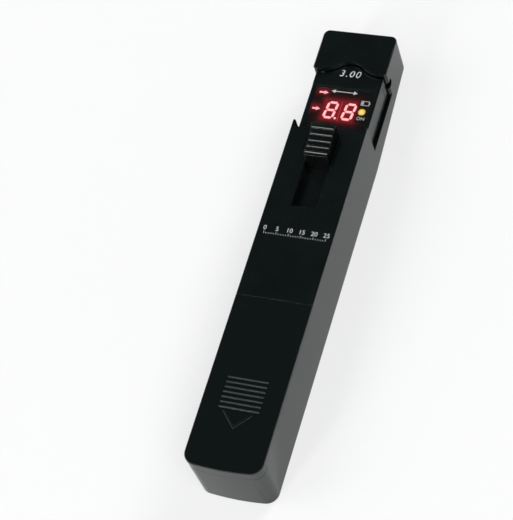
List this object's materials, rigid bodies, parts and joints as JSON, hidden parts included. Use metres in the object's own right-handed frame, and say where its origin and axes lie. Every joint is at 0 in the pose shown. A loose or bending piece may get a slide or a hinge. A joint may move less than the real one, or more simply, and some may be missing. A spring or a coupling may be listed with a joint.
{
  "type": "optical fibre identifier",
  "caption": "Long hand-held bar with a sprung thumb slide that clamps a fibre between a curved adapter and a fixed head, a lit display on the slide and a sliding battery cover.",
  "frame": {"origin": "middle of the bar's footprint, on the flat back that it lies on", "axes": "+X across the bar to the right, +Y along the bar from the battery end to the head, +Z out of its front"},
  "size_m": [0.0308, 0.1964, 0.034],
  "materials": {
    "housing_plastic": "glossy black moulding",
    "slide_plastic": "glossy black moulding",
    "grip_plastic": "satin black moulding",
    "anvil_plastic": "dark moulding",
    "window_tint": "dark red tinted window",
    "circuit_board": "green laminate",
    "chip_package": "moulded chip",
    "digit_package": "dark display module",
    "red_light": "lit red",
    "yellow_light": "yellow lamp",
    "battery_case": "plain battery jacket",
    "metal_can": "plated",
    "steel": "zinc plated"
  },
  "bodies": {
    "housing": {"rear_housing": "housing_plastic", "front_cover": "housing_plastic", "head_cover": "housing_plastic", "anvil_block": "anvil_plastic", "photodiode_left": "metal_can", "photodiode_right": "metal_can", "detector_board": "circuit_board", "spring_guide": "steel", "clamp_spring": "steel", "battery_block": "battery_case", "terminal_plate": "circuit_board", "battery_contacts": "metal_can", "housing_screws": "steel", "head_screws": "steel"},
    "slide": {"slider_shell": "slide_plastic", "slider_base": "slide_plastic", "thumb_grip": "grip_plastic", "fibre_adapter": "slide_plastic", "display_window": "window_tint", "main_board": "circuit_board", "controller_chip": "chip_package", "digit_module_left": "digit_package", "digit_module_right": "digit_package", "digit_segments_left": "red_light", "digit_segments_right": "red_light", "traffic_led": "red_light", "sign_led": "red_light", "battery_led": "yellow_light"},
    "cover": {"battery_cover": "housing_plastic"}
  },
  "joints": [
    {"name": "clamp_slide", "type": "slide", "parent": "housing", "child": "slide", "axis": [0, 1, 0], "range_m": [-0.018, 0], "stiffness_N_per_m": 400, "springref_m": 0.0125, "deforming": ["clamp_spring"]},
    {"name": "battery_cover_slide", "type": "slide", "parent": "housing", "child": "cover", "axis": [0, -1, 0], "range_m": [0, 0.072]}
  ]
}
